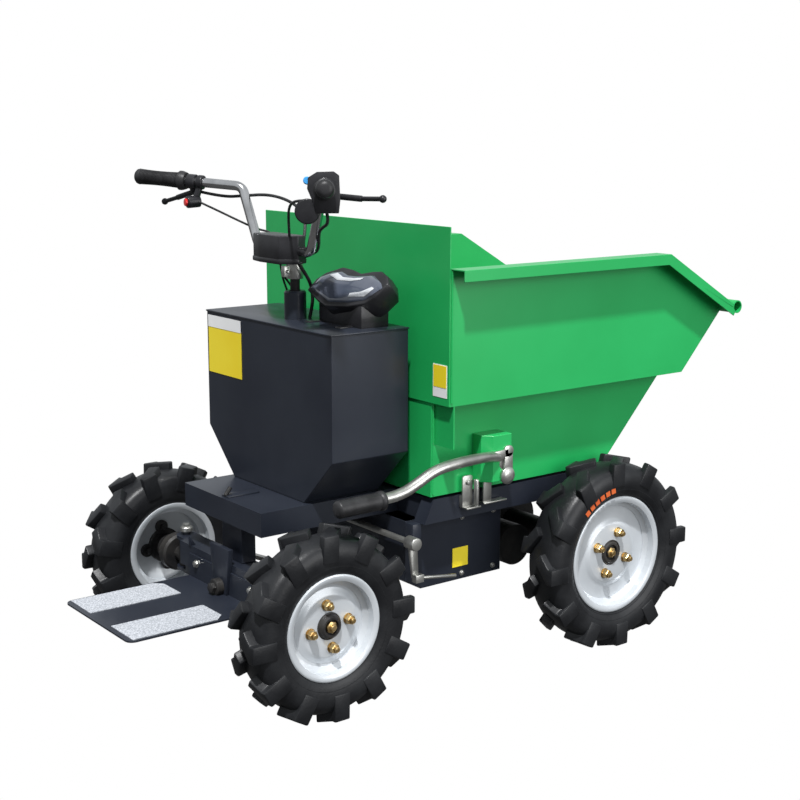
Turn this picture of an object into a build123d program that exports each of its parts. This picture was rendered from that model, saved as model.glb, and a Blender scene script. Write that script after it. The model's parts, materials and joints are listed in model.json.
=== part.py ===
# Site dumper: a small electric four-wheeled tipping dumper that the driver
# steers from a step at the back.  Millimetres, +X forward (the way the skip
# tips), +Y left, +Z up, origin on the ground under the middle of the machine.
from build123d import *
import math
import os

os.makedirs("parts", exist_ok=True)

# ---------------------------------------------------------------- running gear
wheelbase = 784.0
rear_axle_x = -431.0
front_axle_x = rear_axle_x + wheelbase
rear_half_track = 345.0
front_half_track = 386.0
rear_tyre_radius = 208.0
front_tyre_radius = 230.0

# one row per axle: tyre radius, tyre half width, bead seat radius,
# rim flange radius, rim half width, hub radius, bolt circle radius
wheel_sizes = {
    "rear": dict(tyre=rear_tyre_radius, half_width=50.0, seat=101.5, flange=115.5,
                 rim_half=37.0, hub=27.0, bolt_circle=45.0),
    "front": dict(tyre=front_tyre_radius, half_width=54.0, seat=127.0, flange=141.0,
                  rim_half=37.0, hub=27.0, bolt_circle=52.0),
}
# one row per wheel: name, axle, axle x, side (+1 is left), half track
wheels = [
    ("rear_left", "rear", rear_axle_x, 1, rear_half_track),
    ("rear_right", "rear", rear_axle_x, -1, rear_half_track),
    ("front_left", "front", front_axle_x, 1, front_half_track),
    ("front_right", "front", front_axle_x, -1, front_half_track),
]
rim_wall = 3.0
axle_stub_radius = 12.0
stub_clearance = 0.5

# ------------------------------------------------------------------- the frame
frame_bottom = 357.0
frame_top = 411.0
rail_outer = 300.0
rail_width = 40.0
rail_rear_top_x = -104.0
rail_rear_bottom_x = -129.0
spine_outer = 167.0
spine_rear_x = -471.0
deck_thickness = 5.0
pivot_x = 390.0
pivot_z = (frame_top + frame_bottom) / 2
pivot_pin_radius = 10.0

# --------------------------------------------------- battery box and its stack
box_rear_x = -349.0
box_front_x = -146.0
box_half_width = 260.0
box_top = 795.0
box_taper_z = 520.0
box_bottom_half = 149.0
box_wall = 2.0
column_x = -268.0
column_radius = 25.0
column_bore = 13.0
column_top = 861.0
column_foot = 320.0

# -------------------------------------------------------------------- the skip
skip_wall = 3.0
skip_rear_x = -113.0
skip_floor_z = 418.0
skip_ledge_z = 632.0
skip_rim_z = 930.0
skip_rim_front_x = 521.0
skip_lower_half = 300.0
skip_upper_half = 365.0
headboard_top = 1018.0
lip_x = 768.0
lip_z = 787.0
lip_radius = 16.0
lip_wall = 3.0
flange_width = 45.0
flange_drop = 25.0
front_slope = (lip_z - skip_ledge_z) / (lip_x - 623.0)
skip_ledge_front_x = 623.0
skip_floor_front_x = skip_ledge_front_x - (skip_ledge_z - skip_floor_z) / front_slope

# ---------------------------------------------------------------- the steering
kingpin_y = 240.0
kingpin_radius = 9.0
steer_arm = 60.0
pitman_arm = 45.0
arm_z = 210.0
arm_thickness = 10.0
beam_rear_x = -468.0
beam_front_x = -408.0
beam_bottom = 206.0
beam_top = 262.0
beam_half = 205.0
yoke_half = 264.0
yoke_plate = 8.0
yoke_bottom = 178.0
shaft_radius = 11.0

# --------------------------------------------------------------- the handlebar
bar_x = -296.0
bar_z = 955.0
bar_radius = 11.0
bar_points = [(bar_x, 0, bar_z), (bar_x, 107, bar_z), (-302, 165, 1088), (-451, 391, 1107)]
bar_bends = [30.0, 45.0]
grip_length = 128.0
grip_radius = 18.5


def save(part, name):
    part.label = name
    export_step(part, f"parts/{name}.step")


def wheel_plane(x, y, z):
    """Section plane of a wheel: local x runs along the axle, local y outward."""
    return Plane(origin=(x, y, z), x_dir=(0, 1, 0), z_dir=(1, 0, 0))


# ------------------------------------------------------------------ the wheels
for name, axle, x, side, half_track in wheels:
    size = wheel_sizes[axle]
    centre_y = side * half_track
    centre_z = size["tyre"]
    axis = Axis((x, centre_y, centre_z), (0, 1, 0))
    section = wheel_plane(x, centre_y, centre_z)
    seat, flange, rim_half = size["seat"], size["flange"], size["rim_half"]
    tyre_radius, half_width = size["tyre"], size["half_width"]
    bulge_radius = (tyre_radius + seat) / 2
    shoulder_radius = tyre_radius - 22

    with BuildPart() as tyre:
        with BuildSketch(section):
            with BuildLine():
                Polyline((-rim_half, seat), (rim_half, seat), (rim_half, flange + 1))
                ThreePointArc((rim_half, flange + 1), (half_width, bulge_radius),
                              (half_width - 4, shoulder_radius))
                ThreePointArc((half_width - 4, shoulder_radius), (0, tyre_radius),
                              (4 - half_width, shoulder_radius))
                ThreePointArc((4 - half_width, shoulder_radius), (-half_width, bulge_radius),
                              (-rim_half, flange + 1))
                Line((-rim_half, flange + 1), (-rim_half, seat))
            make_face()
        revolve(axis=axis)
    save(tyre.part, f"tyre_{name}")

    disc_in, disc_out = side * 2.0, side * (2.0 + rim_wall + 1)
    lip = rim_half + rim_wall
    with BuildPart() as rim:
        with BuildSketch(section):
            with BuildLine():
                Polyline((-lip, flange), (-rim_half, flange), (-rim_half, seat),
                         (rim_half, seat), (rim_half, flange), (lip, flange),
                         (lip, seat - rim_wall), (-lip, seat - rim_wall), (-lip, flange))
            make_face()
            with BuildLine():
                Polyline((disc_in, size["hub"]), (disc_out, size["hub"]),
                         (disc_out, seat - rim_wall), (disc_in, seat - rim_wall),
                         (disc_in, size["hub"]))
            make_face()
        revolve(axis=axis)
    save(rim.part, f"rim_{name}")

    hub_in = side * -38.0
    hub_out = side * 34.0
    with BuildPart() as hub:
        with BuildSketch(section):
            with BuildLine():
                Polyline((hub_in, axle_stub_radius + stub_clearance), (hub_in, size["hub"]),
                         (hub_out, size["hub"]), (hub_out, 0), (side * 26.0, 0),
                         (side * 26.0, axle_stub_radius + stub_clearance),
                         (hub_in, axle_stub_radius + stub_clearance))
            make_face()
            with BuildLine():
                Polyline((disc_in - side * 8, size["hub"]), (disc_in, size["hub"]),
                         (disc_in, size["bolt_circle"] + 12),
                         (disc_in - side * 8, size["bolt_circle"] + 12),
                         (disc_in - side * 8, size["hub"]))
            make_face()
        revolve(axis=axis)
    save(hub.part, f"hub_{name}")

# --------------------------------------------------------------- the main frame
rail_mid = rail_outer - rail_width / 2
spine_mid = spine_outer - rail_width / 2
with BuildPart() as frame:
    for side in (-1, 1):
        with BuildSketch(Plane.XZ.offset(-side * rail_mid)):
            with BuildLine():
                Polyline((rail_rear_bottom_x, frame_bottom), (pivot_x, frame_bottom))
                ThreePointArc((pivot_x, frame_bottom), (pivot_x + (frame_top - frame_bottom) / 2, pivot_z),
                              (pivot_x, frame_top))
                Polyline((pivot_x, frame_top), (rail_rear_top_x, frame_top),
                         (rail_rear_bottom_x, frame_bottom))
            make_face()
        extrude(amount=rail_width / 2, both=True)
    with BuildSketch(Plane.XY.offset(frame_bottom)):
        with GridLocations(0, 2 * spine_mid, 1, 2):
            with Locations(((spine_rear_x + rail_rear_top_x) / 2, 0)):
                Rectangle(rail_rear_top_x - spine_rear_x, rail_width)
        for cross_x, cross_half in ((-446, spine_mid), (rail_rear_top_x + 25, rail_mid), (160, rail_mid),
                                    (304, rail_mid)):
            with Locations((cross_x, 0)):
                Rectangle(50, 2 * cross_half)
    extrude(amount=frame_top - frame_bottom)
    with BuildSketch(Plane.XY.offset(frame_top - deck_thickness)):
        with BuildLine():
            Polyline((-104, -spine_outer), (-460, -spine_outer), (spine_rear_x, -123),
                     (spine_rear_x, 123), (-460, spine_outer), (-104, spine_outer),
                     (-104, -spine_outer))
        make_face()
    extrude(amount=deck_thickness)
    with BuildSketch(Plane.XY.offset(frame_bottom)):
        with Locations((column_x, 0)):
            Circle(column_radius)
    extrude(amount=frame_top - frame_bottom, mode=Mode.SUBTRACT)
    for side in (-1, 1):
        with BuildSketch(Plane.XZ.offset(-side * (rail_outer - rail_width))):
            with Locations((pivot_x, pivot_z)):
                Circle(pivot_pin_radius)
        extrude(amount=side * 26)
save(frame.part, "main_frame")

with BuildPart() as post:
    with BuildSketch(Plane.XY.offset(beam_top)):
        with Locations((-428, 0)):
            Rectangle(36, 86)
    extrude(amount=frame_bottom - beam_top)
save(post.part, "rear_post")

# ------------------------------------------------------------------ belly box
with BuildPart() as belly:
    with BuildSketch(Plane.XZ.offset(-250)):
        with BuildLine():
            Polyline((-145, frame_bottom), (-145, 216), (-100, 190), (140, 190),
                     (140, frame_bottom), (-145, frame_bottom))
        make_face()
    extrude(amount=500)
    offset(amount=-4, openings=belly.faces().sort_by(Axis.Z)[-1])
save(belly.part, "belly_box")

# ---------------------------------------------------------------- battery box
with BuildPart() as battery_box:
    with BuildSketch(Plane.YZ.offset(box_rear_x)):
        with BuildLine():
            Polyline((-box_bottom_half, frame_top), (box_bottom_half, frame_top),
                     (box_half_width, box_taper_z), (box_half_width, box_top),
                     (-box_half_width, box_top), (-box_half_width, box_taper_z),
                     (-box_bottom_half, frame_top))
        make_face()
    extrude(amount=box_front_x - box_rear_x)
    offset(amount=-box_wall, openings=battery_box.faces().sort_by(Axis.Z)[0])
    with Locations((column_x, 0, box_top)):
        Cylinder(column_radius, 20, mode=Mode.SUBTRACT)
save(battery_box.part, "battery_box")

with BuildPart() as battery:
    with BuildSketch(Plane.XY.offset(frame_top)):
        with Locations((-196, 0)):
            Rectangle(84, 280)
    extrude(amount=220)
save(battery.part, "battery_pack")

with BuildPart() as column:
    with BuildSketch(Plane.XY.offset(column_foot)):
        with Locations((column_x, 0)):
            Circle(column_radius)
            Circle(column_bore, mode=Mode.SUBTRACT)
    extrude(amount=column_top - column_foot)
save(column.part, "column_tube")

# --------------------------------------------------------------- display pod
with BuildPart() as pod:
    with BuildSketch(Plane.XZ.offset(50)):
        with BuildLine():
            Polyline((-262, box_top), (-170, box_top), (-160, 850), (-200, 885), (-262, 840), (-262, box_top))
        make_face()
    extrude(amount=200)
    fillet(pod.edges().filter_by(Axis.Y), radius=12)
save(pod.part, "display_pod")

# ---------------------------------------------------------------- rear axle
with BuildPart() as beam:
    with BuildSketch(Plane.YZ.offset(beam_rear_x)):
        with Locations((0, (beam_top + beam_bottom) / 2)):
            Rectangle(2 * beam_half, beam_top - beam_bottom)
    extrude(amount=beam_front_x - beam_rear_x)
    for side in (-1, 1):
        for plate_z, root_half in ((beam_top - yoke_plate, beam_half), (yoke_bottom, beam_half - 40)):
            with BuildSketch(Plane.XY.offset(plate_z)):
                with Locations((rear_axle_x, side * (root_half + yoke_half - 24) / 2)):
                    Rectangle(48, yoke_half - 24 - root_half)
                with Locations((rear_axle_x, side * kingpin_y)):
                    Circle(24)
            extrude(amount=yoke_plate)
        with BuildSketch(Plane.XY.offset(yoke_bottom)):
            with Locations((rear_axle_x, side * (beam_half - 20))):
                Rectangle(48, 40)
        extrude(amount=beam_bottom - yoke_bottom)
        with BuildSketch(Plane.XY.offset(yoke_bottom - 4)):
            with Locations((rear_axle_x, side * kingpin_y)):
                Circle(kingpin_radius)
        extrude(amount=beam_top + 12 - yoke_bottom + 4)
save(beam.part, "rear_axle_beam")

for name, side in (("left", 1), ("right", -1)):
    with BuildPart() as knuckle:
        with BuildSketch(Plane.XY.offset(yoke_bottom + yoke_plate + 2)):
            with Locations((rear_axle_x, side * kingpin_y)):
                Circle(19)
        extrude(amount=beam_top - yoke_bottom - 2 * yoke_plate - 4)
        with BuildSketch(Plane.XZ.offset(-side * (kingpin_y + 10))):
            with Locations((rear_axle_x, rear_tyre_radius)):
                Circle(axle_stub_radius)
        extrude(amount=-side * (rear_half_track + 22 - kingpin_y - 10))
        with BuildSketch(Plane.XZ.offset(-side * (kingpin_y + 10))):
            with Locations((rear_axle_x, rear_tyre_radius)):
                Circle(18)
        extrude(amount=-side * (rear_half_track - 44 - kingpin_y - 10))
        with BuildSketch(Plane.XY.offset(arm_z)):
            with Locations((rear_axle_x + steer_arm / 2, side * kingpin_y)):
                Rectangle(steer_arm, 22)
            with Locations((rear_axle_x + steer_arm, side * kingpin_y)):
                Circle(13)
        extrude(amount=arm_thickness)
        with BuildSketch(Plane.XY.offset(arm_z)):
            with Locations((rear_axle_x + steer_arm, side * kingpin_y)):
                Circle(6)
        extrude(amount=-16)
        with BuildSketch(Plane.XY.offset(yoke_bottom)):
            with Locations((rear_axle_x, side * kingpin_y)):
                Circle(kingpin_radius + 0.5)
        extrude(amount=beam_top - yoke_bottom, mode=Mode.SUBTRACT)
    save(knuckle.part, f"knuckle_{name}")

rod_x = rear_axle_x + steer_arm
rod_z = arm_z - 2 - 5
with BuildPart() as tie_rod:
    with BuildSketch(Plane.XY.offset(rod_z - 5)):
        with Locations((rod_x, kingpin_y), (rod_x, -kingpin_y)):
            Circle(14)
    extrude(amount=10)
    with BuildSketch(Plane.XZ.offset(-(kingpin_y - 10))):
        with Locations((rod_x, rod_z)):
            Circle(7)
    extrude(amount=2 * (kingpin_y - 10))
    with BuildSketch(Plane.XY.offset(rod_z - 10)):
        with Locations((rod_x, kingpin_y), (rod_x, -kingpin_y)):
            Circle(6.5)
    extrude(amount=20, mode=Mode.SUBTRACT)
save(tie_rod.part, "tie_rod")

pitman_x = column_x - pitman_arm
link_z = arm_z + arm_thickness + 2
with BuildPart() as drag_link:
    with BuildSketch(Plane.XY.offset(link_z)):
        with Locations((pitman_x, 0), (rod_x, kingpin_y)):
            Circle(14)
        with BuildLine():
            link_line = Line((pitman_x, 0), (rod_x, kingpin_y))
        with Locations(link_line @ 0.5):
            Rectangle(link_line.length, 12, rotation=math.degrees(
                math.atan2(kingpin_y, rod_x - pitman_x)))
    extrude(amount=10)
    with BuildSketch(Plane.XY.offset(link_z)):
        with Locations((pitman_x, 0)):
            Circle(6.5)
    extrude(amount=10, mode=Mode.SUBTRACT)
save(drag_link.part, "drag_link")

# ------------------------------------------------------------------ the step
step_top = 190.0
step_rear_x = -784.0
step_half = 156.0
with BuildPart() as step:
    with BuildSketch(Plane.XY.offset(step_top)):
        with Locations(((step_rear_x + beam_rear_x) / 2, 0)):
            Rectangle(beam_rear_x - step_rear_x, 2 * step_half)
    extrude(amount=-4)
    fillet(step.edges().filter_by(Axis.Z).group_by(Axis.X)[0], radius=18)
    with BuildSketch(Plane.YZ.offset(beam_rear_x)):
        with Locations((0, (step_top - 4 + 244) / 2)):
            Rectangle(2 * step_half, 244 - step_top + 4)
    extrude(amount=-4)
save(step.part, "step_plate")

with BuildPart() as pads:
    with BuildSketch(Plane.XY.offset(step_top)):
        with Locations((-662, 100), (-662, -100)):
            Rectangle(220, 100)
    extrude(amount=1.5)
    chamfer(pads.edges().filter_by(Axis.Z).group_by(Axis.X)[-1].sort_by(Axis.Y)[0], length=20)
    chamfer(pads.edges().filter_by(Axis.Z).group_by(Axis.X)[-1].sort_by(Axis.Y)[-1], length=20)
save(pads.part, "step_pads")

# ----------------------------------------------------------------- front axle
with BuildPart() as front_axle:
    with BuildSketch(Plane.XZ.offset(-335)):
        with Locations((front_axle_x, front_tyre_radius)):
            Circle(30)
    extrude(amount=670)
    with BuildSketch(Plane.XZ.offset(-50)):
        with Locations((front_axle_x, front_tyre_radius)):
            Circle(78)
        with Locations((front_axle_x - 75, front_tyre_radius)):
            Rectangle(150, 110)
    extrude(amount=100)
    for side in (-1, 1):
        with BuildSketch(Plane.XZ.offset(-side * (front_half_track - 60))):
            with Locations((front_axle_x, front_tyre_radius)):
                Circle(axle_stub_radius)
        extrude(amount=-side * 82)
        with BuildSketch(Plane.XY.offset(front_tyre_radius)):
            with Locations((front_axle_x, side * rail_mid)):
                Rectangle(44, 30)
        extrude(amount=frame_bottom - front_tyre_radius)
save(front_axle.part, "front_axle")

with BuildPart() as motor:
    with BuildSketch(Plane.XZ.offset(50)):
        with Locations((front_axle_x - 140, front_tyre_radius)):
            Circle(50)
    extrude(amount=170)
save(motor.part, "drive_motor")

# ------------------------------------------------------------------- the skip
side_outline = [(skip_rear_x, skip_ledge_z), (skip_ledge_front_x, skip_ledge_z), (lip_x, lip_z),
                (skip_rim_front_x, skip_rim_z), (skip_rear_x, skip_rim_z)]
with BuildPart() as tub:
    with BuildSketch(Plane.XZ):
        with BuildLine():
            Polyline((skip_rear_x, skip_floor_z), (skip_floor_front_x, skip_floor_z),
                     (skip_ledge_front_x, skip_ledge_z), (skip_rear_x, skip_ledge_z),
                     (skip_rear_x, skip_floor_z))
        make_face()
    extrude(amount=skip_lower_half, both=True)
    with BuildSketch(Plane.XZ):
        with BuildLine():
            Polyline(*side_outline, side_outline[0])
        make_face()
    extrude(amount=skip_upper_half, both=True)
    top_face = tub.faces().sort_by(Axis.Z)[-1]
    slope_face = tub.faces().filter_by(
        lambda f: f.normal_at().X > 0.3 and f.normal_at().Z > 0.3)[0]
    offset(amount=-skip_wall, openings=[top_face, slope_face])
    with BuildSketch(Plane.XZ):
        with Locations((lip_x, lip_z)):
            Circle(lip_radius)
    extrude(amount=skip_upper_half + 1, both=True, mode=Mode.SUBTRACT)
save(tub.part, "skip_tub")

with BuildPart() as headboard:
    with BuildSketch(Plane.YZ.offset(skip_rear_x)):
        with Locations((0, (skip_ledge_z + headboard_top) / 2)):
            Rectangle(2 * skip_upper_half, headboard_top - skip_ledge_z)
    extrude(amount=-skip_wall)
save(headboard.part, "skip_headboard")

slope_length = math.hypot(lip_x - skip_rim_front_x, lip_z - skip_rim_z)
slope_x = (lip_x - skip_rim_front_x) / slope_length
slope_z = (lip_z - skip_rim_z) / slope_length
mitre = math.tan(math.acos(slope_x) / 2)


def rim_strip(depth):
    """Closed outline of a strip as deep as depth that hangs from the skip's rim."""
    return [(skip_rear_x, skip_rim_z), (skip_rim_front_x, skip_rim_z), (lip_x, lip_z),
            (lip_x + slope_z * depth, lip_z - slope_x * depth),
            (skip_rim_front_x - mitre * depth, skip_rim_z - depth),
            (skip_rear_x, skip_rim_z - depth), (skip_rear_x, skip_rim_z)]


flange_outer = skip_upper_half + flange_width
with BuildPart() as rim_flanges:
    for depth, inner in ((skip_wall, skip_upper_half), (flange_drop, flange_outer - skip_wall)):
        for side in (-1, 1):
            with BuildSketch(Plane.XZ.offset(-side * inner)):
                with BuildLine():
                    Polyline(*rim_strip(depth))
                make_face()
            extrude(amount=-side * (flange_outer - inner))
    with BuildSketch(Plane.XZ):
        with Locations((lip_x, lip_z)):
            Circle(lip_radius)
    extrude(amount=flange_outer + 1, both=True, mode=Mode.SUBTRACT)
save(rim_flanges.part, "skip_rim_flanges")

with BuildPart() as lip_tube:
    with BuildSketch(Plane.XZ):
        with Locations((lip_x, lip_z)):
            Circle(lip_radius)
            Circle(lip_radius - lip_wall, mode=Mode.SUBTRACT)
    extrude(amount=flange_outer, both=True)
save(lip_tube.part, "skip_lip_tube")

with BuildPart() as ears:
    for side in (-1, 1):
        with BuildSketch(Plane.XZ.offset(-side * 244)):
            with BuildLine():
                Polyline((pivot_x + 20, pivot_z), (skip_floor_front_x, skip_floor_z),
                         (pivot_x - 60, skip_floor_z), (pivot_x - 20, pivot_z))
                ThreePointArc((pivot_x - 20, pivot_z), (pivot_x, pivot_z - 20), (pivot_x + 20, pivot_z))
            make_face()
            with Locations((pivot_x, pivot_z)):
                Circle(pivot_pin_radius + 0.5, mode=Mode.SUBTRACT)
        extrude(amount=-side * 10)
save(ears.part, "skip_hinge_ears")

# --------------------------------------------------- tipping handle and latch
with BuildPart() as bracket:
    with BuildSketch(Plane.XY.offset(440)):
        with Locations((43, -skip_lower_half - 25)):
            Rectangle(74, 50)
    extrude(amount=108)
    chamfer(bracket.edges().filter_by(Axis.Z).sort_by(Axis.Y)[0:2].sort_by(Axis.X)[0], length=20)
save(bracket.part, "latch_bracket")

handle_y = -385.0
handle_points = [(46, -366, 512), (-20, handle_y, 511), (-107, handle_y, 507), (-180, handle_y, 499),
                 (-240, handle_y, 471), (-425, handle_y, 460)]
with BuildPart() as handle:
    with BuildLine() as handle_path:
        FilletPolyline(*handle_points, radius=30)
    with BuildSketch(Plane(origin=handle_path.line @ 0, z_dir=handle_path.line % 0)):
        Circle(10)
    sweep()
save(handle.part, "tip_handle")

grip_end = Vector(*handle_points[-1])
grip_axis = (Vector(*handle_points[-2]) - grip_end).normalized()
with BuildPart() as tip_grip:
    with BuildSketch(Plane(origin=grip_end - grip_axis * 6, z_dir=grip_axis)):
        Circle(19)
    extrude(amount=136)
    with BuildSketch(Plane(origin=grip_end, z_dir=grip_axis)):
        Circle(10)
    extrude(amount=136, mode=Mode.SUBTRACT)
save(tip_grip.part, "tip_handle_grip")

with BuildPart() as latch_plate:
    with BuildSketch(Plane.XZ.offset(skip_lower_half + 50)):
        with Locations((68, 512), (68, 448)):
            Circle(15)
        with Locations((68, 480)):
            Rectangle(24, 64)
        with Locations((46, 512)):
            Rectangle(44, 20)
    extrude(amount=6)
save(latch_plate.part, "latch_plate")

# --------------------------------------------------- steering shaft and bars
with BuildPart() as shaft:
    with BuildSketch(Plane.XY.offset(link_z - 14)):
        with Locations((column_x, 0)):
            Circle(shaft_radius)
    extrude(amount=905 - link_z + 14)
    with BuildSketch(Plane.XY.offset(890)):
        with Locations((column_x, 0)):
            Circle(17)
    extrude(amount=40)
    with BuildSketch(Plane.XZ.offset(-20)):
        with BuildLine():
            Polyline((column_x - 17, 925), (column_x + 17, 925), (column_x + 17, 940),
                     (bar_x + 20, bar_z + 20), (bar_x - 20, bar_z + 20), (bar_x - 20, bar_z - 15),
                     (column_x - 17, 925))
        make_face()
    extrude(amount=40)
    with BuildSketch(Plane.XZ.offset(-21)):
        with Locations((bar_x, bar_z)):
            Circle(bar_radius)
    extrude(amount=42, mode=Mode.SUBTRACT)
    with BuildSketch(Plane.XY.offset(link_z - 12)):
        with Locations((column_x - pitman_arm / 2, 0)):
            Rectangle(pitman_arm, 22)
        with Locations((column_x, 0), (pitman_x, 0)):
            Circle(15)
    extrude(amount=10)
    with BuildSketch(Plane.XY.offset(link_z - 2)):
        with Locations((pitman_x, 0)):
            Circle(6)
    extrude(amount=14)
save(shaft.part, "steering_shaft")

mirrored_points = [(x, -y, z) for x, y, z in reversed(bar_points[1:])]
with BuildPart() as handlebar:
    with BuildLine() as bar_path:
        FilletPolyline(*mirrored_points, *bar_points[1:], radius=30)
    with BuildSketch(Plane(origin=bar_path.line @ 0, z_dir=bar_path.line % 0)):
        Circle(bar_radius)
    sweep()
save(handlebar.part, "handlebar")

with BuildPart() as grips:
    for side in (-1, 1):
        end = Vector(bar_points[3][0], side * bar_points[3][1], bar_points[3][2])
        inner = Vector(bar_points[2][0], side * bar_points[2][1], bar_points[2][2])
        grip_dir = (inner - end).normalized()
        with BuildSketch(Plane(origin=end - grip_dir * 5, z_dir=grip_dir)):
            Circle(grip_radius)
        extrude(amount=grip_length + 5)
        with BuildSketch(Plane(origin=end, z_dir=grip_dir)):
            Circle(bar_radius)
        extrude(amount=grip_length + 5, mode=Mode.SUBTRACT)
save(grips.part, "grips")

with BuildPart() as cover:
    with BuildSketch(Plane.XY.offset(927)):
        with Locations((-310, 0)):
            Rectangle(68, 144)
    extrude(amount=65)
    fillet(cover.edges().filter_by(Axis.Z), radius=8)
    with BuildSketch(Plane.XY.offset(927)):
        with Locations((-308, 0)):
            Rectangle(67, 139)
    extrude(amount=62.5, mode=Mode.SUBTRACT)
    with BuildSketch(Plane.XZ.offset(-80)):
        with Locations((bar_x, bar_z)):
            Circle(bar_radius)
        with Locations((bar_x + 20, bar_z)):
            Rectangle(40, 2 * bar_radius)
    extrude(amount=160, mode=Mode.SUBTRACT)
save(cover.part, "handlebar_cover")

# ------------------------------------------- what is clamped on the handlebar
bar_ends = []
for side in (-1, 1):
    end = Vector(bar_points[3][0], side * bar_points[3][1], bar_points[3][2])
    inner = Vector(bar_points[2][0], side * bar_points[2][1], bar_points[2][2])
    bar_ends.append((side, end, (inner - end).normalized()))

with BuildPart() as levers:
    for side, end, grip_dir in bar_ends:
        perch = end + grip_dir * (grip_length + 4)
        with BuildSketch(Plane(origin=perch, z_dir=grip_dir)):
            Circle(16)
            Circle(bar_radius, mode=Mode.SUBTRACT)
        extrude(amount=22)
        knot = perch + grip_dir * 11
        with BuildSketch(Plane.XY.offset(knot.Z - 8)):
            with BuildLine():
                Polyline((knot.X + 13, knot.Y - 10), (knot.X + 13, knot.Y + 10),
                         (knot.X + 44, knot.Y + 10), (knot.X + 50, knot.Y - 10),
                         (knot.X + 13, knot.Y - 10))
            make_face()
            with BuildLine():
                Polyline((knot.X + 30, knot.Y), (knot.X + 46, knot.Y),
                         (knot.X + 56, knot.Y + side * 130), (knot.X + 46, knot.Y + side * 130),
                         (knot.X + 30, knot.Y))
            make_face()
        extrude(amount=10)
        with BuildSketch(Plane(origin=perch - grip_dir * 20, z_dir=grip_dir)):
            Circle(bar_radius)
        extrude(amount=60, mode=Mode.SUBTRACT)
save(levers.part, "brake_levers")

with BuildPart() as controls:
    for side, end, grip_dir in bar_ends:
        start = end + grip_dir * (grip_length + 48)
        high, low, half = (40, 40, 26) if side < 0 else (16, 34, 16)
        with BuildSketch(Plane(origin=start, x_dir=(0, 0, 1), z_dir=grip_dir)):
            with Locations(((high - low) / 2, 0)):
                RectangleRounded(high + low, 2 * half, 8)
            Circle(bar_radius, mode=Mode.SUBTRACT)
        extrude(amount=26)
save(controls.part, "bar_controls")

# ------------------------------------------------- brake linkage, latch catch
with BuildPart() as linkage:
    with BuildSketch(Plane.XZ.offset(-300)):
        with Locations((-160, 320)):
            Circle(7)
    extrude(amount=600)
    with BuildSketch(Plane.XZ.offset(292)):
        with Locations((-160, 320), (-152, 240)):
            Circle(12)
        with Locations((-156, 280)):
            Rectangle(16, 80)
    extrude(amount=6)
save(linkage.part, "brake_linkage")

with BuildPart() as catch:
    with BuildSketch(Plane.XZ.offset(rail_outer)):
        with Locations((-5, 388)):
            Rectangle(40, 46)
    extrude(amount=6)
    with BuildSketch(Plane.XY.offset(372)):
        with Locations((-5, -rail_outer - 14)):
            Circle(8)
    extrude(amount=36)
save(catch.part, "latch_catch")
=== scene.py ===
import json
import math

import bmesh
import bpy
from mathutils import Matrix, Vector


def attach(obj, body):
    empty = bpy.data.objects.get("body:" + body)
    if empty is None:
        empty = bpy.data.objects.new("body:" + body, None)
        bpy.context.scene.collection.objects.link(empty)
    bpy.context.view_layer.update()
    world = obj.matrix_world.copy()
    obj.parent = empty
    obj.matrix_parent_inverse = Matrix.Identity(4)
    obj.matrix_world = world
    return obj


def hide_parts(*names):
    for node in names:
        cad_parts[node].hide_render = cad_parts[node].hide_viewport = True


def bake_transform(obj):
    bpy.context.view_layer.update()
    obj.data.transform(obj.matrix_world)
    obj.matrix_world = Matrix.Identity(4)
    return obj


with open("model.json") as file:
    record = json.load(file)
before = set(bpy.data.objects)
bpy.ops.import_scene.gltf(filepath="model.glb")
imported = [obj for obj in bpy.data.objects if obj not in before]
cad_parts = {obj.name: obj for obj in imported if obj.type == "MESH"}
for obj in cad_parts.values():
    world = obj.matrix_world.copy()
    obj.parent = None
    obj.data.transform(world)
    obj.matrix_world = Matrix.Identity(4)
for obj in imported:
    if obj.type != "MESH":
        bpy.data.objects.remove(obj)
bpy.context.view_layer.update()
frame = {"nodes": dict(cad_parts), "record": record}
nodes = frame["nodes"]
print("frame loaded:", len(nodes), "nodes")

mm = 0.001

# view and light, in metres and degrees
viewSettings = {
    "place": (-1.98877, -2.64709, 1.23164),
    "turn": -37.33,          # about the vertical
    "tilt": 11.18,           # looking down
    "roll": 0.12,
    "sensor": 36,            # millimetres, and so is the lens
    "lens": 63.08,
}
sunSettings = {
    "strength": 4.6,
    "from": (-0.3, -0.34, 0.89),
    "softness": 3.0,         # across the disc
}
skySettings = {
    "strength": 0.62,
    "backdrop": (1, 1, 1),   # what the camera sees behind the machine
    "lowTone": (0.2, 0.2, 0.2),
    "highTone": (0.93, 0.97, 1.0),
    "turnFrom": 0.44,        # shares of the height between which the low tone turns into the high one
    "turnTo": 0.56,
}
fillSettings = {
    "place": (1.2, -4.5, 1.6),
    "aim": (0, 0, 0.5),
    "size": 3.0,
    "power": 110.0,
}


def addCamera(settings):
    camera = bpy.data.objects.new("camera", bpy.data.cameras.new("camera"))
    bpy.context.collection.objects.link(camera)
    camera.location = settings["place"]
    turn = Matrix.Rotation(math.radians(settings["turn"]), 4, "Z")
    tilt = Matrix.Rotation(math.radians(90 - settings["tilt"]), 4, "X")
    roll = Matrix.Rotation(math.radians(settings["roll"]), 4, "Z")
    camera.rotation_euler = (turn @ tilt @ roll).to_euler()
    camera.data.sensor_width = settings["sensor"]
    camera.data.lens = settings["lens"]
    bpy.context.scene.camera = camera


def addSun(settings):
    lamp = bpy.data.lights.new("sun", "SUN")
    lamp.energy = settings["strength"]
    lamp.angle = math.radians(settings["softness"])
    sun = bpy.data.objects.new("sun", lamp)
    sun.rotation_euler = Vector(settings["from"]).to_track_quat("Z", "Y").to_euler()
    bpy.context.collection.objects.link(sun)


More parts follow.
